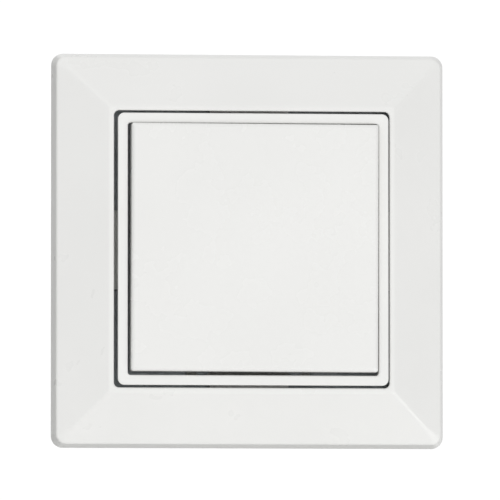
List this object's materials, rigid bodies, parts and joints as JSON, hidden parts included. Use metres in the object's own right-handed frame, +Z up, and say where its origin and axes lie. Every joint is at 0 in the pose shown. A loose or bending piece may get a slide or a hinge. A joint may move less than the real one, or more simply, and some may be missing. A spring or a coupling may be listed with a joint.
{
  "type": "push button light switch",
  "caption": "Flush-mounted wall light switch with a square sprung push plate, bevelled square cover frame, inner bezel ring and rear mechanism on a steel support ring.",
  "frame": {"origin": "centre of the two box-screw slots, in the wall plane at the back face of the support ring", "axes": "+Z up the wall, -Y out of the wall towards the person, +X to the right as seen from the front"},
  "size_m": [0.08, 0.035, 0.08],
  "materials": {
    "cover_frame": "moulded, glossy white",
    "bezel_ring": "moulded, glossy white",
    "push_plate": "moulded, glossy white",
    "carrier_plastic": "moulded, natural off-white",
    "base_plastic": "moulded, light grey white",
    "cover_plastic": "moulded, light grey",
    "lever_plastic": "moulded, orange",
    "zinc_steel": "zinc plated sheet",
    "spring_steel": "bright spring wire and strip",
    "contact_brass": "rolled brass strip",
    "contact_silver": "silver alloy contact"
  },
  "bodies": {
    "housing": {"cover_frame": "cover_frame", "bezel_ring": "bezel_ring", "support_ring": "zinc_steel", "base_socket": "base_plastic", "mechanism_cover": "cover_plastic", "ring_rivets": "zinc_steel", "cover_screws": "zinc_steel", "fixed_contact_right": "contact_brass", "fixed_contact_left": "contact_brass", "fixed_tips": "contact_silver", "clamp_spring_right": "spring_steel", "clamp_spring_left": "spring_steel", "return_spring": "spring_steel"},
    "button": {"push_plate": "push_plate", "button_carrier": "carrier_plastic"},
    "plunger": {"plunger": "carrier_plastic", "contact_spring": "spring_steel"},
    "contact_bridge": {"contact_bridge": "contact_brass", "bridge_tips": "contact_silver"},
    "claw_right": {"claw_right": "zinc_steel"},
    "claw_left": {"claw_left": "zinc_steel"},
    "claw_screw_right": {"claw_screw_right": "zinc_steel"},
    "claw_screw_left": {"claw_screw_left": "zinc_steel"},
    "claw_nut_right": {"claw_nut_right": "zinc_steel"},
    "claw_nut_left": {"claw_nut_left": "zinc_steel"},
    "release_lever_right": {"release_lever_right": "lever_plastic"},
    "release_lever_left": {"release_lever_left": "lever_plastic"}
  },
  "joints": [
    {"name": "button_tilt", "type": "hinge", "parent": "housing", "child": "button", "pos_m": [0, -0.007, 0], "axis": [1, 0, 0], "range_deg": [0, 5], "stiffness_Nm_per_rad": 0.5, "springref_deg": -3.44},
    {"name": "plunger_slide", "type": "slide", "parent": "housing", "child": "plunger", "axis": [0, 1, 0], "range_m": [0, 0.00089], "deforming": ["return_spring"]},
    {"name": "bridge_slide", "type": "slide", "parent": "housing", "child": "contact_bridge", "axis": [0, 1, 0], "range_m": [0, 0.00078], "deforming": ["contact_spring"]},
    {"name": "claw_screw_right_turn", "type": "hinge", "parent": "housing", "child": "claw_screw_right", "pos_m": [0.0216, 0, 0], "axis": [0, 1, 0], "range_deg": [0, 3600.5]},
    {"name": "claw_nut_right_slide", "type": "slide", "parent": "housing", "child": "claw_nut_right", "axis": [0, -1, 0], "range_m": [0, 0.008]},
    {"name": "claw_right_swing", "type": "hinge", "parent": "housing", "child": "claw_right", "pos_m": [0.0206, -0.0005, 0], "axis": [0, 0, -1], "range_deg": [0, 15.01]},
    {"name": "release_lever_right_slide", "type": "slide", "parent": "housing", "child": "release_lever_right", "axis": [0, -1, 0], "range_m": [0, 0.0018], "stiffness_N_per_m": 600, "springref_m": -0.0004, "deforming": ["clamp_spring_right"]},
    {"name": "claw_screw_left_turn", "type": "hinge", "parent": "housing", "child": "claw_screw_left", "pos_m": [-0.0216, 0, 0], "axis": [0, 1, 0], "range_deg": [0, 3600.5]},
    {"name": "claw_nut_left_slide", "type": "slide", "parent": "housing", "child": "claw_nut_left", "axis": [0, -1, 0], "range_m": [0, 0.008]},
    {"name": "claw_left_swing", "type": "hinge", "parent": "housing", "child": "claw_left", "pos_m": [-0.0206, -0.0005, 0], "axis": [0, 0, 1], "range_deg": [0, 15.01]},
    {"name": "release_lever_left_slide", "type": "slide", "parent": "housing", "child": "release_lever_left", "axis": [0, -1, 0], "range_m": [0, 0.0018], "stiffness_N_per_m": 600, "springref_m": -0.0004, "deforming": ["clamp_spring_left"]}
  ],
  "couplings": [
    {"joint": "plunger_slide", "follows": "button_tilt", "m_per_rad": 0.01},
    {"joint": "bridge_slide", "follows": "button_tilt", "m_per_rad": 0.0088},
    {"joint": "claw_screw_right_turn", "follows": "claw_nut_right_slide", "rad_per_m": 7854},
    {"joint": "claw_right_swing", "follows": "claw_nut_right_slide", "rad_per_m": 32.725},
    {"joint": "claw_screw_left_turn", "follows": "claw_nut_left_slide", "rad_per_m": 7854},
    {"joint": "claw_left_swing", "follows": "claw_nut_left_slide", "rad_per_m": 32.725}
  ]
}
